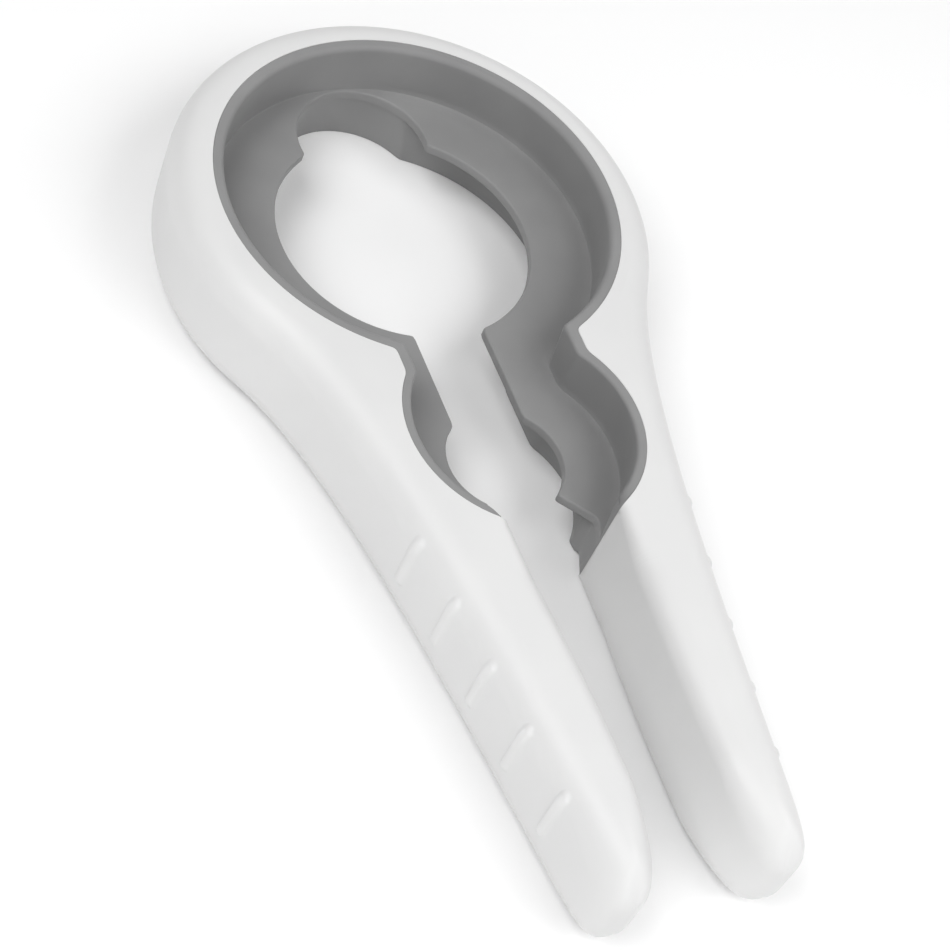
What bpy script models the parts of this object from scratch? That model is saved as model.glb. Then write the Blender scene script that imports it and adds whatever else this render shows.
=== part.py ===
"""Squeeze-type jar opener, lying flat: a forked body whose ring flexes at the crown, lined with a soft grip.

Metres, +Z up. The origin is under the middle of the whole opener, on the surface that it lies on.
The handles point along -Y. Outlines are drawn for the right arm, from the large seat's centre.
"""

from math import acos, cos, degrees, radians, sin

import bmesh
import bpy
import numpy as np
from mathutils import Vector

# Driving dimensions of the stiff body.
THICKNESS = 0.0280
LENGTH = 0.2160
RING_RADIUS = 0.0537  # outside of the body round the large seat
FLANK_START_DEG = -30.0  # where the ring's outside runs out into the handle's outside
FLANK_START_PULL = 0.0240
FLANK_END_PULL = (0.0292, -0.0900)
FLANK_END = (0.0229, -0.1450)
TIP = (0.0164, RING_RADIUS - LENGTH)
OUTER_TIP_PULLS = ((0.0223, -0.1585), (0.0219, TIP[1]))
HANDLE_INNER_END = (0.00935, -0.1410)
INNER_TIP_PULLS = ((0.00935, -0.1520), (0.0106, TIP[1]))
OUTER_ROUNDING = 0.0075
TIP_ROUNDING = 0.0105
INNER_ROUNDING = 0.0050
LINING_END_ROUNDING = 0.0026  # the inner rounding starts small at the lining's end
ROUNDING_RUN = 0.0130  # and has grown to its full size this far down the handle

# Lid seats in the lining. Each seat is a wide bore on top and a narrower one underneath.
SEAT_PITCH = 0.0611  # centre of the large seat to centre of the small one
BORE_RADIUS = 0.0450  # where body and lining meet, above the plate
UPPER_RADIUS = 0.0427  # the walls above the plate
LOWER_RADIUS = 0.0371  # and under it
PLATE_RADIUS = 0.0287
SMALL_BORE_RADIUS = 0.0257
SMALL_UPPER_RADIUS = 0.0237
SMALL_LOWER_RADIUS = 0.0196
SMALL_PLATE_RADIUS = 0.0127
BORE_NECK = 0.0208  # half widths of the neck between the two seats
UPPER_NECK = 0.0183
LOWER_NECK = 0.0158
SLOT_HALF = 0.0081
PLATE_TOP = 0.0148
PLATE_BOTTOM = 0.0124
LOWER_WALL = 0.0020  # lining's wall under the plate
NOTCH_CENTRE_Y = 0.0270  # scallop that lets the crown flex
NOTCH_PLATE_RADIUS = 0.0151
NOTCH_HEAD_RADIUS = 0.0155  # the notch's wall leans out, from right under the plate
NOTCH_LOWER_RADIUS = 0.0168
NOTCH_WALL = 0.0011
RIM_SHARE = 0.55  # flat part of the rim; the rest is eased off towards the seat

# Where the lining ends on the handle's inner face.
BORE_END_DEG = -61.0
UPPER_END_X = 0.0135
FOOT_END_SHARE = 0.4  # where the upper wall's foot ends, across from the plate's lip to the bore
PLATE_CUSP_DEG = -52.5
PLATE_LIP = ((0.0143, -0.0782), (0.01265, -0.0829))
LOWER_CUSP_DEG = -41.0
LOWER_LIP = ((0.0149, -0.0775), (0.0136, -0.0811))
LOWER_BORE_LIP = (0.0165, -0.0788)
FACE_ABOVE_LINING = (0.0148, -0.0778)

# Crown, ribs and fits.
BOW_HALF = 0.0050  # half width of the part of the ring that bends
GAP = 0.0003
RIB_COUNT = 5
RIB_FIRST_Y = -0.0827
RIB_PITCH = 0.01435
RIB_LEVEL = 0.0170  # height of a rib's middle; its top end runs onto the rounded edge
RIB_LENGTH = 0.0145
RIB_WIDTH = 0.0022
RIB_HEIGHT = 0.0006
RIB_TOP_SHARE = 0.75  # a rib's width at its top
RIB_ROOT = 0.0012  # how far a rib is sunk into the handle

# Fineness of the solids.
CURVE_POINTS = 60
BESIDE_CUSP_DEG = -36.0  # where the upper wall's sections stand across from the plate's cusp
ZONE_STEPS = (4, 2, 13, 3, 8, 2, 2)  # notch, beside the notch, ring, neck, small seat, cusp, lip
FLANK_LEVELS = (0.0500, 0.0460, -0.0400, -0.0470, -0.0765, -0.0812, -0.0850)  # the outside, at zone ends
HANDLE_STEPS = 8
HANDLE_SKEW = 0.0012  # how much nearer the tip a handle's section is on its outside
TIP_STEPS = 6
ROUND_STEPS = 3
MOST_INNER_SHARE = 0.30  # of a section's width that its rounded edges may take
MOST_OUTER_SHARE = 0.45
BOW_STEPS = 4
TIP_FACET = 0.00005  # the last section stops this far short of the tip

RING_Y = LENGTH / 2 - RING_RADIUS
SMALL_CENTRE = (0.0, -SEAT_PITCH)
NOTCH_CENTRE = (0.0, NOTCH_CENTRE_Y)
CENTRE = (0.0, 0.0)
HINGE = (0.0, RING_Y + (BORE_RADIUS + RING_RADIUS) / 2, THICKNESS / 2)


# ---------------------------------------------------------------- plan curves

def arc(centre, radius, start_deg, end_deg):
    angles = np.radians(np.linspace(start_deg, end_deg, CURVE_POINTS))
    return np.column_stack([centre[0] + radius * np.cos(angles), centre[1] + radius * np.sin(angles)])


def line(start, end):
    return np.linspace(start, end, CURVE_POINTS)


def bezier(start, pull_start, pull_end, end):
    t = np.linspace(0, 1, CURVE_POINTS)[:, None]
    a, b, c, d = map(np.array, (start, pull_start, pull_end, end))
    return (1 - t) ** 3 * a + 3 * (1 - t) ** 2 * t * b + 3 * (1 - t) * t ** 2 * c + t ** 3 * d


def lengths(points):
    steps = np.hypot(*np.diff(points, axis=0).T)
    return np.concatenate([[0.0], np.cumsum(steps)])


def at_length(points, where):
    run = lengths(points)
    return np.column_stack([np.interp(where, run, points[:, 0]), np.interp(where, run, points[:, 1])])


def at_level(points, levels):
    """Points of a curve that only falls, at the given y levels."""
    return np.column_stack([np.interp(-levels, -points[:, 1], points[:, 0]), levels])


def join(segments, corners):
    """One curve from segments, with each corner cut back and rounded; also where the corners are."""
    pieces = []
    for index, segment in enumerate(segments):
        run = lengths(segment)
        head = corners[index - 1] if index else 0.0
        tail = corners[index] if index < len(corners) else 0.0
        pieces.append(at_length(segment, np.linspace(head, run[-1] - tail, CURVE_POINTS)))
    curve = [pieces[0]]
    marks = [0.0]
    for index, cut in enumerate(corners):
        before, after = pieces[index][-1], pieces[index + 1][0]
        corner = segments[index][-1]
        if cut > 0:
            t = np.linspace(0, 1, 9)[1:-1, None]
            bend = (1 - t) ** 2 * before + 2 * (1 - t) * t * corner + t ** 2 * after
            curve.append(bend)
            marks.append(lengths(np.vstack(curve))[-1] - lengths(bend)[-1] / 2)
            curve.append(pieces[index + 1])
        else:
            marks.append(lengths(np.vstack(curve))[-1])
            curve.append(pieces[index + 1][1:])
    points = np.vstack(curve)
    marks.append(lengths(points)[-1])
    return points, marks


def stations(points, marks, steps):
    """Walk a curve zone by zone, a little closer together at each zone's ends."""
    where = []
    for first, last, count in zip(marks, marks[1:], steps):
        t = np.arange(count) / count
        eased = 0.6 * t + 0.4 * (1 - np.cos(np.pi * t)) / 2
        where.extend(first + (last - first) * eased)
    where.append(marks[-1])
    return at_length(points, np.array(where))


def offset(points, distance):
    """Move a curve to its left by a distance, seen along its direction."""
    along = np.gradient(points, axis=0)
    along /= np.hypot(*along.T)[:, None]
    return points + distance * np.column_stack([-along[:, 1], along[:, 0]])


def start_angle(radius):
    """Angle on a circle at which an arm or its lining starts, beside the crown's bending part."""
    return degrees(acos((BOW_HALF + GAP / 2) / radius))


def meet_notch(radius, notch_radius):
    """Angles, on a seat's circle and on the notch's, of the corner where they cross."""
    y = (radius ** 2 + NOTCH_CENTRE_Y ** 2 - notch_radius ** 2) / (2 * NOTCH_CENTRE_Y)
    x = (radius ** 2 - y ** 2) ** 0.5
    return degrees(np.arctan2(y, x)), degrees(np.arctan2(y - NOTCH_CENTRE_Y, x))


def neck_angles(radius, small_radius, half_width):
    """Angles on the large and the small circle where a neck of this half width leaves them."""
    return -degrees(acos(half_width / radius)), degrees(acos(half_width / small_radius))


def notched_outline(radius, notch_radius, small_radius, neck, cusp_deg, lip, corners):
    """Notch, large circle, neck, small circle and lip: the inside of the plate or of the lower wall.

    The plate's notch runs on past the lower wall's, so that beside the notch the plate stands free.
    """
    on_ring, on_notch = meet_notch(radius, notch_radius)
    leave, enter = neck_angles(radius, small_radius, neck)
    if radius < LOWER_RADIUS:
        turn = meet_notch(LOWER_RADIUS, NOTCH_HEAD_RADIUS)[1]
        beside = arc(NOTCH_CENTRE, notch_radius, turn, on_notch)
        ring_start = on_ring
        first_corners = (0, corners[0])
    else:
        turn = on_notch
        ring_start = meet_notch(PLATE_RADIUS, NOTCH_PLATE_RADIUS)[0]
        beside = arc(CENTRE, radius, on_ring, ring_start)
        first_corners = (corners[0], 0)
    notch = arc(NOTCH_CENTRE, notch_radius, start_angle(notch_radius), turn)
    ring = arc(CENTRE, radius, ring_start, leave)
    small = arc(SMALL_CENTRE, small_radius, enter, cusp_deg)
    neck_line = line(ring[-1], small[0])
    end = [line(small[-1], lip[0]), line(lip[0], lip[1])]
    return join([notch, beside, ring, neck_line, small, *end], first_corners + corners[1:])


def seat_outline(radius, small_radius, neck, end_deg, corners):
    """Large circle, neck and small circle: the inside or the outside of the upper wall."""
    leave, enter = neck_angles(radius, small_radius, neck)
    turns = [start_angle(radius), meet_notch(LOWER_RADIUS, NOTCH_HEAD_RADIUS)[0],
             meet_notch(PLATE_RADIUS, NOTCH_PLATE_RADIUS)[0], leave]
    ring = [arc(CENTRE, radius, first, last) for first, last in zip(turns, turns[1:])]
    small = arc(SMALL_CENTRE, small_radius, enter, BESIDE_CUSP_DEG)
    halfway = (BESIDE_CUSP_DEG + end_deg) / 2
    end = [arc(SMALL_CENTRE, small_radius, BESIDE_CUSP_DEG, halfway),
           arc(SMALL_CENTRE, small_radius, halfway, end_deg)]
    return join([*ring, line(ring[-1][-1], small[0]), small, *end], corners)


def bore_curve():
    return seat_outline(BORE_RADIUS, SMALL_BORE_RADIUS, BORE_NECK, BORE_END_DEG, (0, 0, 0.0012, 0.0012, 0, 0))


def upper_curve():
    end_deg = -degrees(acos(UPPER_END_X / SMALL_UPPER_RADIUS))
    return seat_outline(UPPER_RADIUS, SMALL_UPPER_RADIUS, UPPER_NECK, end_deg, (0, 0, 0.0012, 0.0012, 0, 0))


def plate_curve():
    corners = (0.0008, 0.0009, 0.0010, 0.0009, 0.0016)
    return notched_outline(PLATE_RADIUS, NOTCH_PLATE_RADIUS, SMALL_PLATE_RADIUS, SLOT_HALF,
                           PLATE_CUSP_DEG, PLATE_LIP, corners)


def lower_curve(notch_radius):
    corners = (0.0010, 0.0015, 0.0015, 0.0006, 0.0006)
    return notched_outline(LOWER_RADIUS, notch_radius, SMALL_LOWER_RADIUS, LOWER_NECK,
                           LOWER_CUSP_DEG, LOWER_LIP, corners)


def lower_bore_curve():
    """Outside of the lining's lower wall; it swings out to the lining's end below the small seat."""
    end = arc(SMALL_CENTRE, SMALL_BORE_RADIUS, BORE_END_DEG, BORE_END_DEG)[0]
    corners = (0.0010, 0.0015, 0.0015, 0.0005, 0.0005)
    return notched_outline(LOWER_RADIUS + LOWER_WALL, NOTCH_LOWER_RADIUS + NOTCH_WALL,
                           SMALL_LOWER_RADIUS + LOWER_WALL, LOWER_NECK + LOWER_WALL,
                           LOWER_CUSP_DEG, (LOWER_BORE_LIP, end), corners)


def flank_curve():
    """Outside of the body: ring, flank and the outer half of the tip."""
    ring = arc(CENTRE, RING_RADIUS, start_angle(RING_RADIUS), FLANK_START_DEG)
    turn = radians(FLANK_START_DEG)
    heading = np.array([sin(turn), -cos(turn)])
    flank = bezier(ring[-1], ring[-1] + FLANK_START_PULL * heading, FLANK_END_PULL, FLANK_END)
    tip = bezier(FLANK_END, *OUTER_TIP_PULLS, TIP)
    return np.vstack([ring, flank[1:], tip[1:]])


def handle_curve(start):
    """Inner face of the handle, from the lining's end to the tip."""
    middle = start[1] + (HANDLE_INNER_END[1] - start[1]) / 3
    lead = start[0] + (HANDLE_INNER_END[0] - start[0]) * 2 / 3
    face = bezier(start, (lead, middle), (HANDLE_INNER_END[0], 2 * middle - start[1]), HANDLE_INNER_END)
    tip = bezier(HANDLE_INNER_END, *INNER_TIP_PULLS, TIP)
    return np.vstack([face, tip[1:]])


# ---------------------------------------------------------------- rounded edges

def edge_distance(points, curve):
    """Distance from each point to a curve, and the curve's nearest corner."""
    away = points[:, None, :] - curve[None, :, :]
    nearest = np.hypot(away[..., 0], away[..., 1]).argmin(axis=1)
    best = np.full(len(points), np.inf)
    for step in (-1, 0):
        first = curve[np.clip(nearest + step, 0, len(curve) - 2)]
        span = curve[np.clip(nearest + step, 0, len(curve) - 2) + 1] - first
        share = np.clip(((points - first) * span).sum(axis=1) / (span ** 2).sum(axis=1), 0, 1)
        gap = points - first - span * share[:, None]
        best = np.minimum(best, np.hypot(gap[:, 0], gap[:, 1]))
    return best, nearest


def edge_drop(points, curve, radii):
    """How far a surface falls below flat where it is rounded over towards an edge seen in plan."""
    distance, nearest = edge_distance(points, curve)
    radius = radii[nearest]
    inside = np.clip(radius - distance, 0.0, radius)
    return radius - np.sqrt(np.maximum(radius ** 2 - inside ** 2, 0.0))


def body_drop(points, flank, handle):
    """Rounding of the body's outside and of its handles' inner faces, less at the tips."""
    towards_tip = np.clip((FLANK_END[1] - flank[:, 1]) / (FLANK_END[1] - TIP[1]), 0, 1)
    outer = OUTER_ROUNDING + (TIP_ROUNDING - OUTER_ROUNDING) * towards_tip
    grown = np.clip((handle[0, 1] - handle[:, 1]) / ROUNDING_RUN, 0, 1)
    towards_tip = np.clip((HANDLE_INNER_END[1] - handle[:, 1]) / (HANDLE_INNER_END[1] - TIP[1]), 0, 1)
    inner = LINING_END_ROUNDING + (INNER_ROUNDING - LINING_END_ROUNDING) * grown
    inner += (TIP_ROUNDING - INNER_ROUNDING) * towards_tip
    return np.maximum(edge_drop(points, flank, outer), edge_drop(points, handle, inner))


def lining_drop(points, handle_start):
    """The lining's end follows the rounding of the handle that it ends on."""
    face = line(handle_start, FACE_ABOVE_LINING)
    return edge_drop(points, face, np.full(len(face), LINING_END_ROUNDING))


# ---------------------------------------------------------------- solids

def placed(plan, heights, mirror):
    """Plan points from the large seat's centre, with heights, in the opener's own frame."""
    side = -1.0 if mirror else 1.0
    return np.column_stack([side * plan[:, 0], plan[:, 1] + RING_Y, heights])


def skin(sections, fan_caps):
    """Closed mesh through matching sections, with a flat cap on each end."""
    mesh = bmesh.new()
    loops = [[mesh.verts.new(point) for point in section] for section in sections]
    for loop, following in zip(loops, loops[1:]):
        for index in range(len(loop)):
            after = (index + 1) % len(loop)
            mesh.faces.new([loop[index], loop[after], following[after], following[index]])
    caps = [mesh.faces.new(loops[0]), mesh.faces.new(loops[-1])]
    if fan_caps:
        bmesh.ops.poke(mesh, faces=caps)
    bmesh.ops.triangulate(mesh, faces=mesh.faces[:])
    bmesh.ops.recalc_face_normals(mesh, faces=mesh.faces[:])
    return mesh


def finished(name, mesh, material):
    """Object whose origin is on the axis that the right half turns about, in the middle of the crown."""
    bmesh.ops.translate(mesh, verts=mesh.verts[:], vec=-Vector(HINGE))
    data = bpy.data.meshes.new(name)
    mesh.to_mesh(data)
    mesh.free()
    data.materials.append(material)
    data.shade_smooth()
    data.set_sharp_from_angle(angle=radians(35))
    thing = bpy.data.objects.new(name, data)
    thing.location = HINGE
    bpy.context.collection.objects.link(thing)
    return thing


def body_sections(inner, inner_low, outer, drop, mirror):
    """Sections of the body: top, outer wall, underside, and the stepped bore or the handle's inner wall."""
    turn = np.linspace(0, np.pi / 2, ROUND_STEPS + 1)
    reach = 1 - np.cos(turn)
    sections = []
    for near, near_low, far in zip(inner, inner_low, outer):
        width = np.hypot(*(far - near))
        share_in = min(INNER_ROUNDING / width, MOST_INNER_SHARE) * reach
        share_out = 1 - min(OUTER_ROUNDING / width, MOST_OUTER_SHARE) * reach[::-1]
        share = np.concatenate([share_in, share_out])[:, None]
        top = near + (far - near) * share
        low = near_low + (far - near_low) * share[::-1]
        plan = np.vstack([top, low, near_low[None], near[None]])
        step = [PLATE_BOTTOM - 2 * GAP, PLATE_BOTTOM - GAP]
        heights = np.concatenate([THICKNESS - drop(top), drop(low), step])
        sections.append(placed(plan, heights, mirror))
    return sections


def lining_sections(curves, drop, mirror):
    """Sections of the lining: rim, upper wall, plate, lower wall and its seat on the body."""
    sections = []
    for bore, upper, foot, plate, head, lower, bore_low in zip(*curves):
        rim = bore + (upper - bore) * RIM_SHARE
        ease = np.hypot(*(upper - rim))
        plan = np.array([bore, rim, upper, foot, plate, plate, head, lower, bore_low, bore_low, bore])
        fall = drop(plan)
        top = THICKNESS - fall[:3] - np.array([0.0, 0.0, ease])
        low = [PLATE_TOP, PLATE_TOP, PLATE_BOTTOM, PLATE_BOTTOM, fall[7], fall[8]]
        heights = np.concatenate([top, low, [PLATE_BOTTOM - GAP, PLATE_BOTTOM]])
        sections.append(placed(plan, heights, mirror))
    return sections


def make_arm(name, material, mirror):
    """Half of the ring and one handle."""
    bore, bore_marks = bore_curve()
    low, low_marks = lower_bore_curve()
    bore_line = offset(stations(bore, bore_marks, ZONE_STEPS), GAP)
    low_line = offset(stations(low, low_marks, ZONE_STEPS), GAP)
    bore_line[0, 0] = low_line[0, 0] = BOW_HALF + GAP / 2
    low_line[-1] = bore_line[-1]
    flank = flank_curve()
    handle = handle_curve(bore_line[-1])
    levels = np.array([RING_RADIUS, *FLANK_LEVELS])
    flank_marks = np.interp(-levels, -flank[:, 1], lengths(flank))
    flank_marks[0] = 0.0
    handle_y = np.linspace(bore_line[-1, 1], FLANK_END[1], HANDLE_STEPS + 1)[1:]
    tip_turn = np.linspace(0, np.pi / 2, TIP_STEPS + 1)[1:]
    tip_y = FLANK_END[1] + (TIP[1] + TIP_FACET - FLANK_END[1]) * np.sin(tip_turn)
    inner_y = np.concatenate([handle_y, tip_y])
    handle_line = at_level(handle, inner_y)
    outer_y = inner_y.copy()
    outer_y[:HANDLE_STEPS] -= HANDLE_SKEW * np.linspace(1, 0, HANDLE_STEPS + 1)[1:]
    flank_line = np.vstack([stations(flank, flank_marks, ZONE_STEPS), at_level(flank, outer_y)])
    inner = np.vstack([bore_line, handle_line])
    inner_low = np.vstack([low_line, handle_line])

    def drop(points):
        return body_drop(points, flank, handle)

    arm = finished(name, skin(body_sections(inner, inner_low, flank_line, drop, mirror), True), material)
    ribs = make_ribs(name + "_ribs", flank, mirror)
    union = arm.modifiers.new("ribs", "BOOLEAN")
    union.operation = "UNION"
    union.object = ribs
    return arm


def edge_recess(height):
    """How far the handle's outside has drawn back at a height, where its top edge is rounded."""
    over = max(height - (THICKNESS - OUTER_ROUNDING), 0.0)
    return OUTER_ROUNDING - (OUTER_ROUNDING ** 2 - over ** 2) ** 0.5


def make_ribs(name, flank, mirror):
    """Short raised ribs across the outside of a handle, as one hidden tool that is joined to the arm."""
    mesh = bmesh.new()
    end_steps = 5  # round each end of a rib
    half = RIB_LENGTH / 2 - RIB_WIDTH / 2
    turns = np.linspace(0, np.pi, end_steps + 1)
    side = -1.0 if mirror else 1.0
    for index in range(RIB_COUNT):
        level = RIB_FIRST_Y - index * RIB_PITCH
        ends = at_level(flank, np.array([level + 0.001, level, level - 0.001]))
        along = (ends[2] - ends[0]) / np.hypot(*(ends[2] - ends[0]))
        out = np.array([-along[1], along[0]])
        outline = [(RIB_WIDTH / 2 * cos(turn), half + RIB_WIDTH / 2 * sin(turn)) for turn in turns]
        outline += [(-across, -up) for across, up in outline]
        rings = []
        for depth, shrink in ((-RIB_ROOT, 1.0), (RIB_HEIGHT / 2, 1.0), (RIB_HEIGHT, RIB_TOP_SHARE)):
            ring = []
            for across, up in outline:
                height = RIB_LEVEL + up - (1 - shrink) * RIB_WIDTH / 2 * np.sign(up)
                plan = ends[1] + along * across * shrink + out * (depth - edge_recess(height))
                ring.append(mesh.verts.new((side * plan[0], plan[1] + RING_Y, height)))
            rings.append(ring)
        for lower, upper in zip(rings, rings[1:]):
            for corner in range(len(lower)):
                after = (corner + 1) % len(lower)
                mesh.faces.new([lower[corner], lower[after], upper[after], upper[corner]])
        mesh.faces.new(rings[0][::-1])
        mesh.faces.new(rings[-1])
    bmesh.ops.triangulate(mesh, faces=mesh.faces[:])
    bmesh.ops.recalc_face_normals(mesh, faces=mesh.faces[:])
    data = bpy.data.meshes.new(name)
    mesh.to_mesh(data)
    mesh.free()
    ribs = bpy.data.objects.new(name, data)
    bpy.context.collection.objects.link(ribs)
    ribs.hide_render = True
    ribs.display_type = "WIRE"
    return ribs


def make_lining(name, material, mirror):
    """Soft lining of one arm's half of both seats."""
    curves = [bore_curve(), upper_curve(), upper_curve(), plate_curve(), lower_curve(NOTCH_HEAD_RADIUS),
              lower_curve(NOTCH_LOWER_RADIUS), lower_bore_curve()]
    rows = [stations(points, marks, ZONE_STEPS) for points, marks in curves]
    handle_start = offset(rows[0], GAP)[-1]
    # the upper wall's foot runs out to the lining's end, behind the plate's lip
    lip = ZONE_STEPS[-1] + 1
    foot_end = rows[3][-1] + (rows[0][-1] - rows[3][-1]) * FOOT_END_SHARE
    rows[2][-lip:] += (foot_end - rows[2][-1]) * np.linspace(0, 1, lip)[:, None]

    def drop(points):
        return lining_drop(points, handle_start)

    return finished(name, skin(lining_sections(rows, drop, mirror), False), material)


def bow_row(centre, radius):
    """Part of a circle within the crown's bending part."""
    reach = degrees(acos((BOW_HALF - GAP / 2) / radius))
    angles = np.radians(np.linspace(180 - reach, reach, BOW_STEPS + 1))
    return np.column_stack([centre[0] + radius * np.cos(angles), centre[1] + radius * np.sin(angles)])


def make_crown_bow(material):
    """The stretch of the body's ring that bends when the handles are squeezed."""
    inner = bow_row(CENTRE, BORE_RADIUS + GAP)
    inner_low = bow_row(NOTCH_CENTRE, NOTCH_LOWER_RADIUS + NOTCH_WALL + GAP)
    outer = bow_row(CENTRE, RING_RADIUS)
    edge = arc(CENTRE, RING_RADIUS, 60, 120)

    def drop(points):
        return edge_drop(points, edge, np.full(len(edge), OUTER_ROUNDING))

    return finished("crown_bow", skin(body_sections(inner, inner_low, outer, drop, False), True), material)


def make_crown_lining(material):
    """The thin stretch of lining behind the crown notch, which bends with the bow."""
    rows = [
        bow_row(CENTRE, BORE_RADIUS),
        bow_row(CENTRE, UPPER_RADIUS),
        bow_row(CENTRE, UPPER_RADIUS),
        bow_row(NOTCH_CENTRE, NOTCH_PLATE_RADIUS),
        bow_row(NOTCH_CENTRE, NOTCH_HEAD_RADIUS),
        bow_row(NOTCH_CENTRE, NOTCH_LOWER_RADIUS),
        bow_row(NOTCH_CENTRE, NOTCH_LOWER_RADIUS + NOTCH_WALL),
    ]

    def flat(points):
        return np.zeros(len(points))

    return finished("crown_lining", skin(lining_sections(rows, flat, False), False), material)


# ---------------------------------------------------------------- materials

def plain_material(name, colour, roughness):
    material = bpy.data.materials.new(name)
    material.use_nodes = True
    shader = material.node_tree.nodes["Principled BSDF"]
    shader.inputs["Base Color"].default_value = (*colour, 1.0)
    shader.inputs["Roughness"].default_value = roughness
    shader.inputs["Metallic"].default_value = 0.0
    return material


def body_material(name):
    """White moulded plastic with a soft sheen."""
    return plain_material(name, (0.80, 0.80, 0.80), 0.38)


def lining_material(name):
    """Mid-grey thermoplastic rubber, nearly matte."""
    return plain_material(name, (0.22, 0.22, 0.22), 0.60)


def main():
    for thing in list(bpy.data.objects):
        bpy.data.objects.remove(thing, do_unlink=True)
    make_arm("left_arm", body_material("left_arm_plastic"), True)
    make_arm("right_arm", body_material("right_arm_plastic"), False)
    make_crown_bow(body_material("crown_plastic"))
    make_lining("left_lining", lining_material("left_lining_rubber"), True)
    make_lining("right_lining", lining_material("right_lining_rubber"), False)
    make_crown_lining(lining_material("crown_lining_rubber"))


main()
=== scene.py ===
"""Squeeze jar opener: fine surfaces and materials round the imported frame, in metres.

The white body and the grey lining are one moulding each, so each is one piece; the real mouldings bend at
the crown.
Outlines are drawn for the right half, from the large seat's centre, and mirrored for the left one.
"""

from math import acos, cos, degrees, radians, sin

import bpy
import numpy as np
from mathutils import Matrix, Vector


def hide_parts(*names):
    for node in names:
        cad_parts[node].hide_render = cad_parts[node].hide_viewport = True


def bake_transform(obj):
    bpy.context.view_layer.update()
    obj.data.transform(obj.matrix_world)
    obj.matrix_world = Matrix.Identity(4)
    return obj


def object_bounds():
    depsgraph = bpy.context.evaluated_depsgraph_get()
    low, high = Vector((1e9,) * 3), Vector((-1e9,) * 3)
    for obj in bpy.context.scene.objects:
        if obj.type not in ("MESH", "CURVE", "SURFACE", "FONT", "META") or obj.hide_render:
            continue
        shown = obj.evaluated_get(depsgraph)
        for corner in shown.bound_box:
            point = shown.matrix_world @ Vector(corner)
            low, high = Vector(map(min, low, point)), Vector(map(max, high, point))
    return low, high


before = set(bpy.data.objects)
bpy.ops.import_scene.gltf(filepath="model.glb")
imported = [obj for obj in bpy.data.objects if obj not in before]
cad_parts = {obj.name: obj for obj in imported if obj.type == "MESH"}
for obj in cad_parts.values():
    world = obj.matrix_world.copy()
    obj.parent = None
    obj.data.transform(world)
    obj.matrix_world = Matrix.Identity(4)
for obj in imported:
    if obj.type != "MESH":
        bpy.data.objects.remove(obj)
CAD_LOW, CAD_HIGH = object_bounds()

# Sizes of the body, as in the CAD.
THICKNESS = CAD_HIGH.z - CAD_LOW.z
LENGTH = CAD_HIGH.y - CAD_LOW.y
RING_RADIUS = 0.0537
RING_Y = CAD_HIGH.y - RING_RADIUS
FLANK_START_DEG = -30.0
FLANK_START_PULL = 0.024
FLANK_END_PULL = (0.0292, -0.0900)
FLANK_END = (0.0229, -0.1450)
TIP = (0.0164, RING_RADIUS - LENGTH)
OUTER_TIP_PULLS = ((0.0223, -0.1585), (0.0219, TIP[1]))
HANDLE_INNER_END = (0.00935, -0.1410)
INNER_TIP_PULLS = ((0.00935, -0.1520), (0.0106, TIP[1]))
OUTER_ROUNDING = 0.0075
INNER_ROUNDING = 0.0050
LINING_END_ROUNDING = 0.0026
ROUNDING_RUN = 0.0130  # the handle's inner rounding grows to its full radius over this length
TIP_ROUNDING = 0.0105
CREST_POWER = 3.0  # how sharp the crest between two roundings is where both are shallow
EDGE_POWER = 9.0  # how much sharper it is next to an edge

# Lid seats, with all places taken from the large seat's centre.
SEAT_PITCH = 0.0611
CENTRE = (0.0, 0.0)
SMALL_CENTRE = (0.0, -SEAT_PITCH)
BORE_RADIUS, SMALL_BORE_RADIUS, BORE_NECK = 0.0450, 0.0257, 0.0208
UPPER_RADIUS, SMALL_UPPER_RADIUS, UPPER_NECK = 0.0425, 0.0237, 0.0183
FOOT_RADIUS, SMALL_FOOT_RADIUS, FOOT_NECK = 0.0429, 0.0247, 0.0191
LOWER_RADIUS, SMALL_LOWER_RADIUS, LOWER_NECK = 0.0371, 0.0196, 0.0158
PLATE_RADIUS, SMALL_PLATE_RADIUS, SLOT_HALF = 0.0287, 0.0127, 0.0081
PLATE_TOP = 0.0148
PLATE_BOTTOM = 0.0124
LOWER_WALL = 0.0020
NOTCH_CENTRE = (0.0, 0.0270)
NOTCH_PLATE_RADIUS = 0.0151
NOTCH_HEAD_RADIUS = 0.01535  # the notch's wall leans out, from right under the plate
NOTCH_LOWER_RADIUS = 0.0168
NOTCH_WALL = 0.0011

# How far each corner of an outline is cut back.
BORE_CORNER = 0.0012
UPPER_CORNER = 0.0010
FOOT_CORNER = 0.0020
PLATE_CORNERS = (0.0008, 0.0009, 0.0010, 0.0009, 0.0016)
LOWER_CORNERS = (0.0010, 0.0015, 0.0015, 0.0006, 0.0006)
LOWER_BORE_CORNERS = (0.0010, 0.0015, 0.0015, 0.0005, 0.0005)

# Where the lining ends on the handle's inner face.
BORE_END_DEG = -61.0
BESIDE_CUSP_DEG = -36.0
UPPER_END_X = 0.0135
PLATE_CUSP_DEG = -52.5
PLATE_LIP = ((0.0143, -0.0782), (0.01265, -0.0829))
LOWER_CUSP_DEG = -41.0
LOWER_LIP = ((0.0149, -0.0775), (0.0136, -0.0811))
LOWER_BORE_LIP = (0.0165, -0.0788)
FACE_ABOVE_LINING = (0.0148, -0.0778)
FOOT_END_SHARE = 0.4  # where the upper wall's foot ends, from the plate's lip to the bore
FOOT_END_POWER = 1.5

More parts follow.
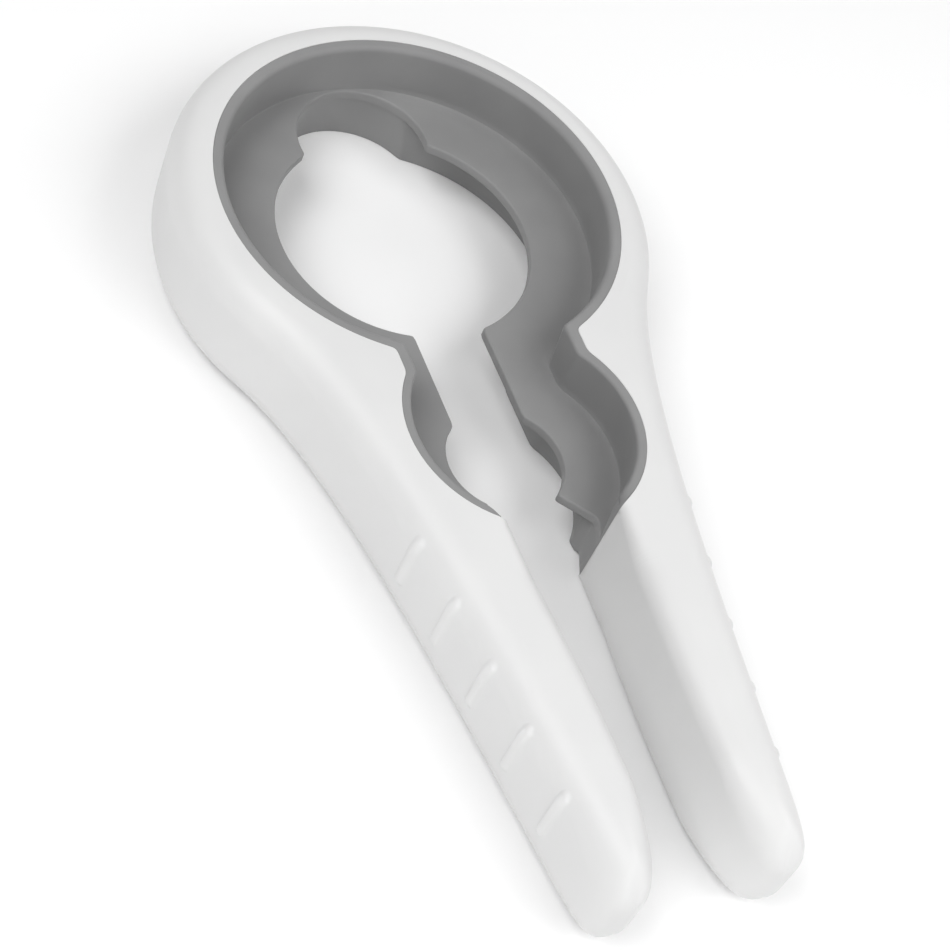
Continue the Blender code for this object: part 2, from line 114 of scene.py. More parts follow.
# Grip ribs.
RIB_COUNT = 5
RIB_FIRST_Y = -0.0827
RIB_PITCH = 0.01435
RIB_LEVEL = 0.0170  # height of a rib's middle; its top end runs onto the rounded edge
RIB_LENGTH = 0.0145
RIB_WIDTH = 0.0022
RIB_HEIGHT = 0.0006
RIB_SOFTNESS = 0.0005
RIB_DOME = 0.70  # share of a rib's height that is in its soft edge; the rest is a gentle crown

# Small fillets of the mouldings.
PARTING = 0.00002  # body to lining
SEAM_FILLET = 0.00012  # where the body's top meets the lining's rim
SEAM_END_DROP = 0.0020  # the seam's fillet is gone where the body is rounded over this far
RIM_FILLET, SMALL_RIM_FILLET = 0.0014, 0.0008  # inner edge of the rim, round each seat
RIM_CHANGE = 0.010  # length over which the rim's fillet changes between the seats
LEAST_RIM_FLAT = 0.3
PLATE_FILLET = 0.00045
FOOT_FILLET = 0.00012
LOWER_EDGE_FILLET = 0.0003
FADE_ROWS = 4.0  # fillets fade out over the last rows of the lining

# The body's step under the plate, and the lining's, below the plate's underside.
STEP_DEPTH = 0.0002
STEP_FALL = 0.0001
LINING_STEP_DEPTH = 0.0003
UNDER_PLATE_FLAT = 0.0002  # at least this much of the plate's underside stays flat

# Rows along the mouldings.
FINE = 500  # points on each drawn segment
CORNER_STEPS = 41
SEAT_STEPS = (14, 12, 64, 12, 44, 10, 10)  # notch, beside the notch, ring, neck, small seat, cusp, lip
FLANK_LEVELS = (RING_RADIUS, 0.0500, 0.0460, -0.0400, -0.0470, -0.0765, -0.0812, -0.0850)
EVEN_SHARE = 0.35  # how much of a zone's spacing is even; the rest is close at the corners
HANDLE_STEPS = 45
TIP_STEPS = 40
RIB_STEPS = 19
LINING_END_GAP = 0.0002  # no rib section is nearer than this to the lining's end
TIP_GAP = 0.000001  # the last section stops this far short of the tip

# Points of one section of the body, closer together where the ribs end, so that their ends are round.
ARCH_SPLIT = 0.62
WALL_SPLITS = (0.32, 0.12)
INNER_ARCH = np.linspace(0, np.pi / 2, 13)
OUTER_ARCH = np.concatenate([np.linspace(0, ARCH_SPLIT, 16), np.linspace(ARCH_SPLIT, np.pi / 2, 10)[1:]])
OUTER_WALL = np.concatenate([np.linspace(1, WALL_SPLITS[0], 9), np.linspace(*WALL_SPLITS, 11)[1:],
                             np.linspace(WALL_SPLITS[1], 0, 4)[1:]])
MOST_INNER_SHARE, MOST_OUTER_SHARE = 0.38, 0.58
BELOW_STEP_SHARES = (0.15, 0.4, 0.7, 0.95)
ABOVE_STEP_SHARES = (0.05, 0.35, 0.7, 0.9)
RIB_SIDE_SHARE = 0.7  # the ribs lie on what is beyond this share of a section's width

# Shares of the way across each face of the lining.
RIM_EDGE_SHARE = 0.05
RIM_SHARES = (0.4, 0.8)
UPPER_WALL_SHARES = (0.1, 0.3, 0.6, 0.85)
PLATE_SHARES = (0.15, 0.3, 0.5, 0.7, 0.85)
UNDER_PLATE_SHARES = (0.35, 0.7)
LOWER_WALL_SHARES = (0.2, 0.5, 0.8)

# Creases sharper than this stay sharp, in degrees.
BODY_CREASE, LINING_CREASE = 40, 35

# Colours.
PLASTIC_TONES = ((0.690, 0.690, 0.690), (0.712, 0.712, 0.710))
# painted highlight: a lighter colour on the ribs stands in for the light that their raised faces catch
RIB_PAINTED_HIGHLIGHT_TONE = (0.724, 0.724, 0.723, 1.0)
RUBBER_TONES = ((0.236, 0.236, 0.237), (0.266, 0.266, 0.266))
FLOOR_TONES = (0.945, 0.955)

# Long lens above and to the left of the handles.
LENS = 88.92
CAMERA_SPOT = (-0.2183, RING_Y - 0.2906, THICKNESS + 0.3451)
CAMERA_TURN_DEG = (37.525, -17.315, -21.638)
FLOOR_HALF = 3.0
WORLD_STRENGTH = 0.02

# Softboxes round the opener: azimuth, elevation, distance and power.
LIGHT_SPREAD = 0.62  # a softbox's width over its distance
LIGHTS = (
    (0, 22, 1.3, 2.6),
    (45, 22, 1.3, 1.9),
    (90, 22, 1.3, 3.5),
    (225, 22, 1.3, 3.7),
    (270, 22, 0.8, 0.31),
    (315, 22, 0.8, 0.56),
    (180, 55, 1.3, 9.8),
    (270, 55, 0.8, 1.32),
    (315, 55, 0.8, 2.36),
)


# ------------------------------------------------------------- plan curves

def arc(centre, radius, start_deg, end_deg):
    angles = np.radians(np.linspace(start_deg, end_deg, FINE))
    return np.column_stack([centre[0] + radius * np.cos(angles), centre[1] + radius * np.sin(angles)])


def line(start, end):
    return np.linspace(start, end, FINE)


def bezier(*knots):
    t = np.linspace(0, 1, FINE)[:, None]
    a, b, c, d = map(np.array, knots)
    return (1 - t) ** 3 * a + 3 * (1 - t) ** 2 * t * b + 3 * (1 - t) * t ** 2 * c + t ** 3 * d


def lengths(points):
    return np.concatenate([[0.0], np.cumsum(np.hypot(*np.diff(points, axis=0).T))])


def at_length(points, where, values=None):
    """Points of a curve, or values given at its points, at lengths along it."""
    values = points if values is None else values
    run = lengths(points)
    return np.column_stack([np.interp(where, run, values[:, axis]) for axis in (0, 1)])


def level_length(points, levels):
    """Length along a falling curve at which it reaches each level."""
    return np.interp(-np.asarray(levels), -points[:, 1], lengths(points))


def join(segments, corners):
    """One curve from segments, with each corner cut back and rounded; also where the corners are."""
    pieces = []
    for index, segment in enumerate(segments):
        run = lengths(segment)
        head = corners[index - 1] if index else 0.0
        tail = corners[index] if index < len(corners) else 0.0
        pieces.append(at_length(segment, np.linspace(head, run[-1] - tail, FINE)))
    curve = [pieces[0]]
    marks = [0.0]
    for index, cut in enumerate(corners):
        before, after, corner = pieces[index][-1], pieces[index + 1][0], segments[index][-1]
        if cut > 0:
            t = np.linspace(0, 1, CORNER_STEPS)[1:-1, None]
            bend = (1 - t) ** 2 * before + 2 * (1 - t) * t * corner + t ** 2 * after
            curve.append(bend)
            marks.append(lengths(np.vstack(curve))[-1] - lengths(bend)[-1] / 2)
            curve.append(pieces[index + 1])
        else:
            marks.append(lengths(np.vstack(curve))[-1])
            curve.append(pieces[index + 1][1:])
    points = np.vstack(curve)
    marks.append(lengths(points)[-1])
    return points, marks


def walk(marks, steps):
    """Lengths along a curve, zone by zone, closer together at the corners between zones."""
    where = []
    for first, last, count in zip(marks, marks[1:], steps):
        t = np.arange(count) / count
        close = (1 - np.cos(np.pi * t)) / 2
        where.extend(first + (last - first) * (EVEN_SHARE * t + (1 - EVEN_SHARE) * close))
    where.append(marks[-1])
    return np.array(where)


def sides(points):
    """Unit vectors to the left of a curve at each of its points."""
    along = np.gradient(points, lengths(points), axis=0)
    along /= np.hypot(*along.T)[:, None]
    return np.column_stack([-along[:, 1], along[:, 0]])


def meet_notch(radius, notch_radius):
    """Angles, on a seat's circle and on the notch's, of the corner where they cross."""
    y = (radius ** 2 + NOTCH_CENTRE[1] ** 2 - notch_radius ** 2) / (2 * NOTCH_CENTRE[1])
    x = (radius ** 2 - y ** 2) ** 0.5
    return degrees(np.arctan2(y, x)), degrees(np.arctan2(y - NOTCH_CENTRE[1], x))


def neck_angles(radius, small_radius, half_width):
    return -degrees(acos(half_width / radius)), degrees(acos(half_width / small_radius))


def notched_outline(radius, notch_radius, small_radius, neck, cusp_deg, lip, corners):
    """Notch, large circle, neck, small circle and lip: the inside of the plate or of the lower wall.

    The plate's notch runs on past the lower wall's, so that beside the notch the plate stands free.
    """
    on_ring, on_notch = meet_notch(radius, notch_radius)
    leave, enter = neck_angles(radius, small_radius, neck)
    if radius < LOWER_RADIUS:
        turn = meet_notch(LOWER_RADIUS, NOTCH_HEAD_RADIUS)[1]
        beside = arc(NOTCH_CENTRE, notch_radius, turn, on_notch)
        ring_start = on_ring
        first_corners = (0, corners[0])
    else:
        turn = on_notch
        ring_start = meet_notch(PLATE_RADIUS, NOTCH_PLATE_RADIUS)[0]
        beside = arc(CENTRE, radius, on_ring, ring_start)
        first_corners = (corners[0], 0)
    notch = arc(NOTCH_CENTRE, notch_radius, 90.0, turn)
    ring = arc(CENTRE, radius, ring_start, leave)
    small = arc(SMALL_CENTRE, small_radius, enter, cusp_deg)
    neck_line = line(ring[-1], small[0])
    end = [line(small[-1], lip[0]), line(lip[0], lip[1])]
    return join([notch, beside, ring, neck_line, small, *end], first_corners + corners[1:])


def seat_outline(radius, small_radius, neck, end_deg, corner):
    """Large circle, neck and small circle: the inside or the outside of the upper wall."""
    leave, enter = neck_angles(radius, small_radius, neck)
    turns = [90.0, meet_notch(LOWER_RADIUS, NOTCH_HEAD_RADIUS)[0],
             meet_notch(PLATE_RADIUS, NOTCH_PLATE_RADIUS)[0], leave]
    ring = [arc(CENTRE, radius, first, last) for first, last in zip(turns, turns[1:])]
    small = arc(SMALL_CENTRE, small_radius, enter, BESIDE_CUSP_DEG)
    halfway = (BESIDE_CUSP_DEG + end_deg) / 2
    end = [arc(SMALL_CENTRE, small_radius, BESIDE_CUSP_DEG, halfway),
           arc(SMALL_CENTRE, small_radius, halfway, end_deg)]
    return join([*ring, line(ring[-1][-1], small[0]), small, *end], (0, 0, corner, corner, 0, 0))


def bore_curve():
    return seat_outline(BORE_RADIUS, SMALL_BORE_RADIUS, BORE_NECK, BORE_END_DEG, BORE_CORNER)


def wall_curve(radius, small_radius, neck, corner):
    end_deg = -degrees(acos(UPPER_END_X / small_radius))
    return seat_outline(radius, small_radius, neck, end_deg, corner)


def plate_curve():
    return notched_outline(PLATE_RADIUS, NOTCH_PLATE_RADIUS, SMALL_PLATE_RADIUS, SLOT_HALF,
                           PLATE_CUSP_DEG, PLATE_LIP, PLATE_CORNERS)


def lower_curve(notch_radius):
    return notched_outline(LOWER_RADIUS, notch_radius, SMALL_LOWER_RADIUS, LOWER_NECK,
                           LOWER_CUSP_DEG, LOWER_LIP, LOWER_CORNERS)


def lower_bore_curve():
    end = arc(SMALL_CENTRE, SMALL_BORE_RADIUS, BORE_END_DEG, BORE_END_DEG)[0]
    return notched_outline(LOWER_RADIUS + LOWER_WALL, NOTCH_LOWER_RADIUS + NOTCH_WALL,
                           SMALL_LOWER_RADIUS + LOWER_WALL, LOWER_NECK + LOWER_WALL,
                           LOWER_CUSP_DEG, (LOWER_BORE_LIP, end), LOWER_BORE_CORNERS)


def flank_curve():
    """Outside of the body: ring, flank and the outer half of the tip."""
    ring = arc(CENTRE, RING_RADIUS, 90.0, FLANK_START_DEG)
    turn = radians(FLANK_START_DEG)
    heading = np.array([sin(turn), -cos(turn)])
    flank = bezier(ring[-1], ring[-1] + FLANK_START_PULL * heading, FLANK_END_PULL, FLANK_END)
    tip = bezier(FLANK_END, *OUTER_TIP_PULLS, TIP)
    return np.vstack([ring, flank[1:], tip[1:]])


def handle_curve(start):
    """Inner face of the handle, from the lining's end to the tip."""
    middle = start[1] + (HANDLE_INNER_END[1] - start[1]) / 3
    face = bezier(start, (start[0] / 3 + HANDLE_INNER_END[0] * 2 / 3, middle),
                  (HANDLE_INNER_END[0], 2 * middle - start[1]), HANDLE_INNER_END)
    tip = bezier(HANDLE_INNER_END, *INNER_TIP_PULLS, TIP)
    return np.vstack([face, tip[1:]])


# ------------------------------------------------------------- rounded edges

def edge_distance(points, curve):
    """How far points are from a curve, and which of its points is the nearest."""
    thin = curve[::4]
    away = points[:, None, :] - thin[None, :, :]
    nearest = np.hypot(away[..., 0], away[..., 1]).argmin(axis=1)
    best = np.full(len(points), np.inf)
    for step in (-1, 0):
        at = np.clip(nearest + step, 0, len(thin) - 2)
        first, span = thin[at], thin[at + 1] - thin[at]
        share = np.clip(((points - first) * span).sum(axis=1) / (span ** 2).sum(axis=1), 0, 1)
        gap = points - first - span * share[:, None]
        best = np.minimum(best, np.hypot(gap[:, 0], gap[:, 1]))
    return best, nearest * 4


def edge_drop(points, curve, radii):
    """How far a surface falls below flat where it is rounded over towards an edge seen in plan."""
    distance, nearest = edge_distance(points, curve)
    radius = radii[nearest]
    inside = np.clip(radius - distance, 0.0, radius)
    return radius - np.sqrt(np.maximum(radius ** 2 - inside ** 2, 0.0))


def soft_max(first, second):
    """The larger of two drops, with the crest between them rounded, but not next to an edge."""
    power = CREST_POWER + EDGE_POWER * (np.maximum(first, second) / TIP_ROUNDING) ** 2
    return (first ** power + second ** power) ** (1 / power)


def rounding_radii(curve, radius, start_y):
    """Radius of the rounding along a curve, which changes to the tip's from a level on."""
    towards_tip = np.clip((start_y - curve[:, 1]) / (start_y - TIP[1]), 0, 1)
    return radius + (TIP_ROUNDING - radius) * towards_tip


def body_drop(points, flank, handle):
    """How far the body's top or underside is rounded over, towards its outside and a handle's inner face."""
    outer = edge_drop(points, flank, rounding_radii(flank, OUTER_ROUNDING, FLANK_END[1]))
    grown = np.clip((handle[0, 1] - handle[:, 1]) / ROUNDING_RUN, 0, 1)
    less = (INNER_ROUNDING - LINING_END_ROUNDING) * (1 - grown)
    inner_radii = rounding_radii(handle, INNER_ROUNDING, HANDLE_INNER_END[1]) - less
    inner = edge_drop(points, handle, inner_radii)
    return np.minimum(soft_max(outer, inner), TIP_ROUNDING)


# ------------------------------------------------------------- meshes

def mirrored_loft(name, grid, crease):
    """Mesh from a (sections, points, 3) grid of the right half that starts on the middle plane."""
    grid[0, :, 0] = 0.0
    left = grid[:0:-1] * np.array([-1.0, 1.0, 1.0])
    whole = np.concatenate([left, grid])
    rows, columns = whole.shape[:2]
    index = np.arange(rows * columns).reshape(rows, columns)
    after = np.roll(index, -1, axis=1)
    quads = np.stack([index[:-1], after[:-1], after[1:], index[1:]], axis=-1).reshape(-1, 4)
    faces = [tuple(map(int, quad)) for quad in quads]
    faces.append(tuple(map(int, index[0][::-1])))
    faces.append(tuple(map(int, index[-1])))
    mesh = bpy.data.meshes.new(name)
    mesh.from_pydata(whole.reshape(-1, 3).tolist(), [], faces)
    mesh.validate()
    mesh.shade_smooth()
    mesh.set_sharp_from_angle(angle=radians(crease))
    thing = bpy.data.objects.new(name, mesh)
    bpy.context.collection.objects.link(thing)
    return thing


def placed(plan, heights):
    """Plan points from the large seat's centre, with heights, in the opener's own frame."""
    return np.column_stack([plan[:, 0], plan[:, 1] + RING_Y, heights])


def rib_marks(flank):
    """Lengths along the flank of the ribs' middles, and of the sections that draw them."""
    centres = level_length(flank, RIB_FIRST_Y - RIB_PITCH * np.arange(RIB_COUNT))
    offsets = (RIB_WIDTH / 2 + RIB_SOFTNESS) * np.linspace(-1, 1, RIB_STEPS)
    return centres, (centres[:, None] + offsets[None, :]).ravel()


def rib_share(along, heights, centres):
    """Where a section is on a grip rib, and its share of a rib's height, from 0 beside a rib to 1 on it."""
    reach = np.maximum(np.abs(heights - RIB_LEVEL) - (RIB_LENGTH - RIB_WIDTH) / 2, 0.0)
    nearest = np.abs(along - centres).min()
    inside = RIB_WIDTH / 2 - np.hypot(nearest, reach)
    t = np.clip(inside / (2 * RIB_SOFTNESS) + 0.5, 0, 1)
    crown = np.clip(inside / (RIB_WIDTH / 2), 0, 1)
    soft = t * t * (3 - 2 * t)
    return soft, soft * (RIB_DOME + (1 - RIB_DOME) * (2 - crown) * crown)


def handle_sections(flank, start, centres, rib_where):
    """Lengths along the flank of the handle's sections, and the share of the way to the tip's start."""
    total = lengths(flank)[-1]
    tip_start = level_length(flank, [FLANK_END[1]])[0]
    even = np.linspace(start, tip_start, HANDLE_STEPS + 1)[1:]
    near_rib = np.abs(even[:, None] - centres[None, :]).min(axis=1) < RIB_WIDTH
    turn = np.linspace(0, np.pi / 2, TIP_STEPS + 1)[1:]
    tip_where = tip_start + (total - tip_start) * np.sin(turn)
    tip_where[-1] = total - TIP_GAP
    rib_where = rib_where[rib_where > start + LINING_END_GAP]
    where = np.sort(np.concatenate([even[~near_rib], rib_where, tip_where]))
    return where, np.clip((where - start) / (tip_start - start), 0, 1)


def body_section(near, near_low, far, flank, handle):
    """Plan points and heights of one section of the body, and which of them the ribs may raise."""
    width = np.hypot(*(far - near))
    share_in = min(INNER_ROUNDING / width, MOST_INNER_SHARE) * (1 - np.cos(INNER_ARCH))
    share_out = 1 - min(OUTER_ROUNDING / width, MOST_OUTER_SHARE) * (1 - np.cos(OUTER_ARCH))[::-1]
    share = np.concatenate([share_in, share_out])[:, None]
    top = near + (far - near) * share
    underside = near_low + (far - near_low) * share[::-1]
    drop_top = body_drop(top, flank, handle)
    drop_low = body_drop(underside, flank, handle)
    head, foot = THICKNESS - drop_top[0], drop_low[-1]
    wall_top, wall_low = THICKNESS - drop_top[-1], drop_low[0]
    wall = wall_low + (wall_top - wall_low) * OUTER_WALL[1:-1]
    step = PLATE_BOTTOM - STEP_DEPTH
    below = [foot + (step - foot) * part for part in BELOW_STEP_SHARES] + [step]
    above = [step + STEP_FALL] + [step + (head - step) * part for part in ABOVE_STEP_SHARES]
    plan = np.vstack([top, np.repeat(far[None], len(wall), 0), underside,
                      np.repeat(near_low[None], len(below), 0), np.repeat(near[None], len(above), 0)])
    heights = np.concatenate([THICKNESS - drop_top, wall, drop_low, below, above])
    heights[0] -= max(0.0, 1 - drop_top[0] / SEAM_END_DROP) * SEAM_FILLET
    plan[0] = near
    outside = share[:, 0] > RIB_SIDE_SHARE
    outside = np.concatenate([outside, np.ones(len(wall), bool), outside[::-1],
                              np.zeros(len(below) + len(above), bool)])
    return plan, heights, outside


def body_mesh():
    bore, bore_marks = bore_curve()
    low, low_marks = lower_bore_curve()
    bore_line = at_length(bore + PARTING * sides(bore), walk(bore_marks, SEAT_STEPS))
    low_line = at_length(low + PARTING * sides(low), walk(low_marks, SEAT_STEPS))
    bore_line[0, 0] = low_line[0, 0] = 0.0
    flank = flank_curve()
    handle = handle_curve(bore_line[-1])
    marks = level_length(flank, FLANK_LEVELS)
    marks[0] = 0.0
    seat_where = walk(marks, SEAT_STEPS)
    centres, rib_where = rib_marks(flank)
    handle_where, drift = handle_sections(flank, seat_where[-1], centres, rib_where)
    where = np.concatenate([seat_where, handle_where])
    outer = at_length(flank, where)
    outward = at_length(flank, where, sides(flank))

    # sections start at the lining's end on the inner face, and turn level towards the tip
    inner_level = outer[len(seat_where):, 1] + (bore_line[-1, 1] - FLANK_LEVELS[-1]) * (1 - drift)
    handle_points = at_length(handle, level_length(handle, inner_level))
    inner = np.vstack([bore_line, handle_points])
    inner_low = np.vstack([low_line, handle_points])

    sections, ribs = [], []
    for near, near_low, far, along, out in zip(inner, inner_low, outer, where, outward):
        plan, heights, outside = body_section(near, near_low, far, flank, handle)
        on_rib, rise = rib_share(along, heights, centres)
        plan = plan + out * (RIB_HEIGHT * rise * outside)[:, None]
        sections.append(placed(plan, heights))
        ribs.append(on_rib * outside)
    body = mirrored_loft("body_moulding", np.array(sections), BODY_CREASE)
    # the rib shares mask a painted highlight, which makes the plastic's colour lighter on the ribs
    shares = np.concatenate([ribs[:0:-1], ribs]).ravel()
    rib = body.data.attributes.new("rib", "FLOAT", "POINT")
    rib.data.foreach_set("value", shares.astype(np.float32))
    return body


def lining_rows():
    """The lining's edges as rows of points that match one another, and the outward side at each point."""
    curves = {
        "bore": bore_curve(),
        "upper": wall_curve(UPPER_RADIUS, SMALL_UPPER_RADIUS, UPPER_NECK, UPPER_CORNER),
        "foot": wall_curve(FOOT_RADIUS, SMALL_FOOT_RADIUS, FOOT_NECK, FOOT_CORNER),
        "plate": plate_curve(),
        "head": lower_curve(NOTCH_HEAD_RADIUS),
        "lower": lower_curve(NOTCH_LOWER_RADIUS),
        "low_bore": lower_bore_curve(),
    }
    row, side = {}, {}
    for name, (points, marks) in curves.items():
        where = walk(marks, SEAT_STEPS)
        row[name] = at_length(points, where)
        side[name] = at_length(points, where, sides(points))
        side[name][0] = (0.0, 1.0)
        row[name][0, 0] = 0.0
    # the upper wall's foot runs out to the lining's end, behind the plate's lip
    lip = SEAT_STEPS[-1] + 1
    share = np.linspace(0, 1, lip)[:, None]
    end = row["plate"][-1] + (row["bore"][-1] - row["plate"][-1]) * FOOT_END_SHARE
    row["foot"][-lip:] += (end - row["foot"][-1]) * share ** FOOT_END_POWER
    return row, side


def quarter(steps):
    """Steps of a fillet: shares of its radius still to go, across and up."""
    turn = np.linspace(0, np.pi / 2, steps)
    return list(zip(1 - np.cos(turn), 1 - np.sin(turn)))


def lining_mesh():
    row, side = lining_rows()
    bore, upper, foot, plate, head, lower = (row[name] for name in
                                             ("bore", "upper", "foot", "plate", "head", "lower"))
    count = len(bore)
    # fillets fade out towards the lining's end, which lies in the handle's inner face
    fade = np.clip((count - 1 - np.arange(count)) / FADE_ROWS, 0, 1)[:, None]
    # the rim's inner edge is rounder in the large seat than in the small one
    large = np.clip((upper[:, 1] - SMALL_CENTRE[1] - SMALL_UPPER_RADIUS) / RIM_CHANGE + 0.5, 0, 1)
    ease = SMALL_RIM_FILLET + (RIM_FILLET - SMALL_RIM_FILLET) * large
    face = line(bore[-1], FACE_ABOVE_LINING)
    radii = np.full(len(face), LINING_END_ROUNDING)
    columns = []

    def add(plan, heights, rounded=0):
        """One more row; rounded is 1 on the top and -1 on the underside, which follow the handle's edge."""
        heights = np.broadcast_to(heights, (count,)).astype(float).copy()
        if rounded:
            heights -= rounded * edge_drop(plan, face, radii)
        columns.append(placed(plan, heights))

    # rim: a fine edge against the body, then flat, then rounded over into the seat
    add(bore, THICKNESS - SEAM_FILLET, 1)
    add(bore + (upper - bore) * RIM_EDGE_SHARE, THICKNESS, 1)
    width = np.hypot(*(upper - bore).T)
    flat = np.clip(1 - ease / width, LEAST_RIM_FLAT, 1)[:, None]
    for part in RIM_SHARES:
        add(bore + (upper - bore) * (RIM_EDGE_SHARE + (flat - RIM_EDGE_SHARE) * part), THICKNESS, 1)
    for reach, rise in reversed(quarter(9)):
        # reach 1 is the flat's edge, reach 0 the wall
        add(upper + (bore - upper) * (1 - flat) * reach, THICKNESS - ease * rise, 1)
    # upper wall and its foot
    wall_top = THICKNESS - ease - edge_drop(upper, face, radii)
    for part in UPPER_WALL_SHARES:
        add(upper + (foot - upper) * part, wall_top + (PLATE_TOP + FOOT_FILLET - wall_top) * part)
    for reach, rise in quarter(3):
        add(foot - side["foot"] * FOOT_FILLET * reach * fade, PLATE_TOP + FOOT_FILLET * rise)
    # plate
    ledge_start = foot - side["foot"] * FOOT_FILLET * fade
    ledge = plate + side["plate"] * PLATE_FILLET * fade - ledge_start
    for part in PLATE_SHARES:
        add(ledge_start + ledge * part, PLATE_TOP)
    for reach, rise in reversed(quarter(5)):
        add(plate + side["plate"] * PLATE_FILLET * reach * fade, PLATE_TOP - PLATE_FILLET * rise)
    add(plate, (PLATE_TOP + PLATE_BOTTOM) / 2)
    gap = np.hypot(*(head - plate).T)
    low_fillet = np.minimum(PLATE_FILLET, np.maximum(gap - UNDER_PLATE_FLAT, 0.0))[:, None] * fade
    for reach, rise in quarter(5):
        add(plate + side["plate"] * low_fillet * reach, PLATE_BOTTOM + low_fillet[:, 0] * rise)
    inner = plate + side["plate"] * low_fillet
    for part in UNDER_PLATE_SHARES:
        add(inner + (head - inner) * part, PLATE_BOTTOM)
    # lower wall and its edge, of which only the last share is near the underside
    add(head, PLATE_BOTTOM)
    for part in LOWER_WALL_SHARES:
        heights = PLATE_BOTTOM * (1 - part) + LOWER_EDGE_FILLET * part
        add(head + (lower - head) * part, heights, -1 if part == LOWER_WALL_SHARES[-1] else 0)
    for reach, rise in quarter(5):
        add(lower + side["lower"] * LOWER_EDGE_FILLET * reach * fade, LOWER_EDGE_FILLET * rise, -1)
    add(row["low_bore"], 0.0, -1)
    add(row["low_bore"], PLATE_BOTTOM - LINING_STEP_DEPTH)
    add(bore, PLATE_BOTTOM)
    return mirrored_loft("lining_moulding", np.stack(columns, axis=1), LINING_CREASE)


# ------------------------------------------------------------- materials

def node(tree, kind, **inputs):
    """A new node with these values in its sockets."""
    made = tree.nodes.new(kind)
    for name, value in inputs.items():
        made.inputs[name.replace("_", " ")].default_value = value
    return made


def noise(tree, scale, detail):
    coords = tree.nodes.new("ShaderNodeTexCoord")
    made = node(tree, "ShaderNodeTexNoise", Scale=scale, Detail=detail, Roughness=0.5)
    tree.links.new(coords.outputs["Object"], made.inputs["Vector"])
    return made.outputs["Fac"]


def ramp(tree, value, low, high):
    """Colour or grey that runs between two values as the noise does."""
    made = tree.nodes.new("ShaderNodeValToRGB")
    for element, place, colour in zip(made.color_ramp.elements, (0.3, 0.7), (low, high)):
        element.position = place
        element.color = (*colour, 1.0) if isinstance(colour, tuple) else (colour, colour, colour, 1.0)
    tree.links.new(value, made.inputs["Fac"])
    return made.outputs["Color"]


def bump(tree, height, strength, distance, under=None):
    made = node(tree, "ShaderNodeBump", Strength=strength, Distance=distance)
    tree.links.new(height, made.inputs["Height"])
    if under is not None:
        tree.links.new(under, made.inputs["Normal"])
    return made.outputs["Normal"]


def shader(name):
    material = bpy.data.materials.new(name)
    material.use_nodes = True
    return material, material.node_tree, material.node_tree.nodes["Principled BSDF"]


def white_plastic():
    """Satin white polypropylene: faint flow clouds, a fine eroded grain, and a painted highlight that makes
    the ribs lighter.
    """
    material, tree, surface = shader("white_moulded_plastic")
    cloud = noise(tree, 38.0, 3.0)
    # painted highlight: the rib attribute mixes the lighter rib colour over the plastic's own
    colour = node(tree, "ShaderNodeMixRGB", Color2=RIB_PAINTED_HIGHLIGHT_TONE)
    rib = tree.nodes.new("ShaderNodeAttribute")
    rib.attribute_name = "rib"
    tree.links.new(rib.outputs["Fac"], colour.inputs["Fac"])
    tree.links.new(ramp(tree, cloud, *PLASTIC_TONES), colour.inputs["Color1"])
    tree.links.new(colour.outputs["Color"], surface.inputs["Base Color"])
    tree.links.new(ramp(tree, noise(tree, 150.0, 4.0), 0.40, 0.50), surface.inputs["Roughness"])
    grain = bump(tree, noise(tree, 2600.0, 2.0), 0.10, 0.00004)
    tree.links.new(bump(tree, noise(tree, 420.0, 2.0), 0.06, 0.0001, grain), surface.inputs["Normal"])
    surface.inputs["IOR"].default_value = 1.49
    surface.inputs["Specular IOR Level"].default_value = 0.42
    return material


def grey_rubber():
    """Nearly matte thermoplastic rubber with a fine eroded grain."""
    material, tree, surface = shader("grey_soft_rubber")
    cloud = noise(tree, 60.0, 4.0)
    tree.links.new(ramp(tree, cloud, *RUBBER_TONES), surface.inputs["Base Color"])
    tree.links.new(ramp(tree, noise(tree, 240.0, 4.0), 0.56, 0.68), surface.inputs["Roughness"])
    grain = bump(tree, noise(tree, 3200.0, 3.0), 0.22, 0.00005)
    tree.links.new(bump(tree, noise(tree, 500.0, 2.0), 0.10, 0.0001, grain), surface.inputs["Normal"])
    surface.inputs["IOR"].default_value = 1.50
    surface.inputs["Specular IOR Level"].default_value = 0.35
    surface.inputs["Sheen Weight"].default_value = 0.08
    return material


def paper_floor():
    material, tree, surface = shader("pale_backdrop")
    tree.links.new(ramp(tree, noise(tree, 4.0, 2.0), *FLOOR_TONES), surface.inputs["Base Color"])
    surface.inputs["Roughness"].default_value = 0.9
    surface.inputs["Specular IOR Level"].default_value = 0.1
    return material


# ------------------------------------------------------------- stage

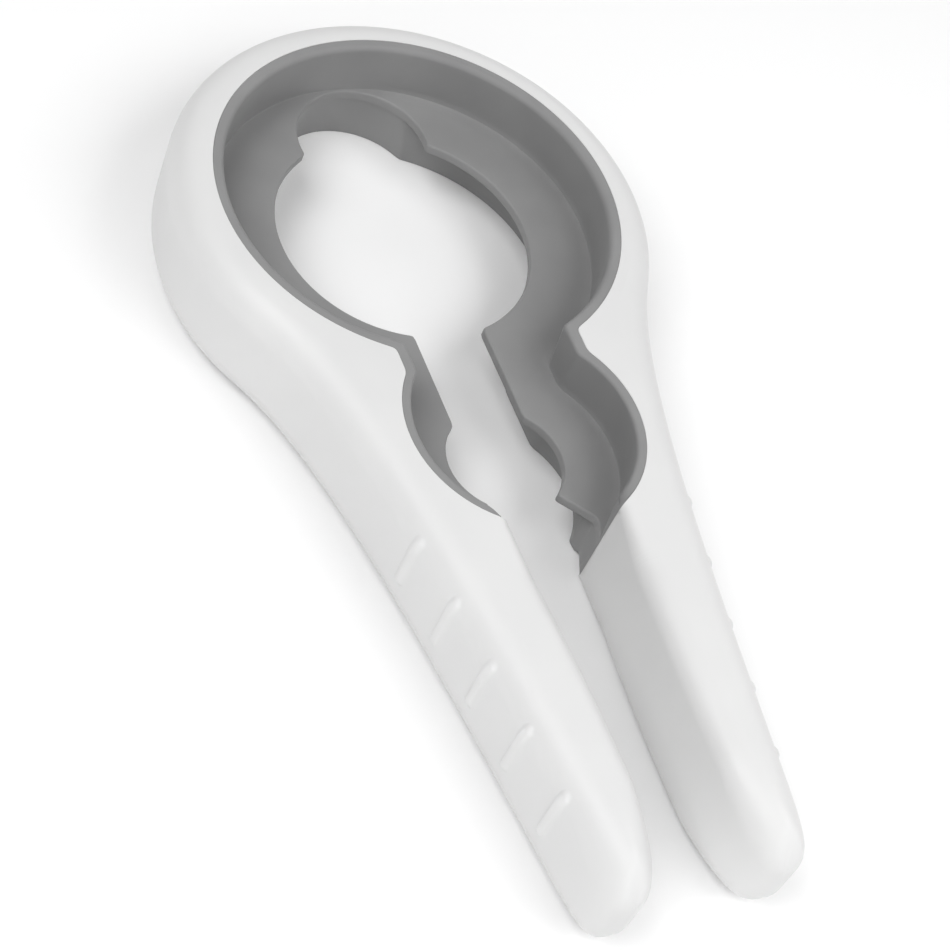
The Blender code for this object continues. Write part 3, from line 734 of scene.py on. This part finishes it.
def make_camera():
    data = bpy.data.cameras.new("camera")
    data.lens = LENS
    data.sensor_width = 36.0
    data.clip_start = 0.01
    camera = bpy.data.objects.new("camera", data)
    camera.location = CAMERA_SPOT
    camera.rotation_euler = [radians(angle) for angle in CAMERA_TURN_DEG]
    bpy.context.collection.objects.link(camera)
    bpy.context.scene.camera = camera


def area_light(name, azimuth, elevation, distance, power):
    """Square softbox that looks at the opener; azimuth 0 is +X and 90 is +Y, in degrees."""
    data = bpy.data.lights.new(name, "AREA")
    data.size = LIGHT_SPREAD * distance
    data.energy = power
    lamp = bpy.data.objects.new(name, data)
    turn, rise = radians(azimuth), radians(elevation)
    lamp.location = distance * Vector((cos(turn) * cos(rise), sin(turn) * cos(rise), sin(rise)))
    lamp.rotation_euler = lamp.location.to_track_quat("Z", "Y").to_euler()
    lamp.visible_camera = False
    bpy.context.collection.objects.link(lamp)


def make_stage():
    floor_mesh = bpy.data.meshes.new("floor")
    signs = ((-1, -1), (1, -1), (1, 1), (-1, 1))
    corners = [(across * FLOOR_HALF, along * FLOOR_HALF, CAD_LOW.z) for across, along in signs]
    floor_mesh.from_pydata(corners, [], [(0, 1, 2, 3)])
    floor = bpy.data.objects.new("floor", floor_mesh)
    floor_mesh.materials.append(paper_floor())
    bpy.context.collection.objects.link(floor)
    world = bpy.data.worlds.new("studio")
    world.use_nodes = True
    background = world.node_tree.nodes["Background"]
    background.inputs["Color"].default_value = (1.0, 1.0, 1.0, 1.0)
    background.inputs["Strength"].default_value = WORLD_STRENGTH
    bpy.context.scene.world = world
    for azimuth, elevation, distance, power in LIGHTS:
        area_light(f"soft_{azimuth}_{elevation}", azimuth, elevation, distance, power)
    bpy.context.scene.view_settings.view_transform = "Standard"


def main():
    make_camera()
    make_stage()
    body = body_mesh()
    body.data.materials.append(white_plastic())
    lining = lining_mesh()
    lining.data.materials.append(grey_rubber())
    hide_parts("left_arm", "right_arm", "crown_bow")
    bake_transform(body)
    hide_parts("left_lining", "right_lining", "crown_lining")
    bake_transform(lining)


main()
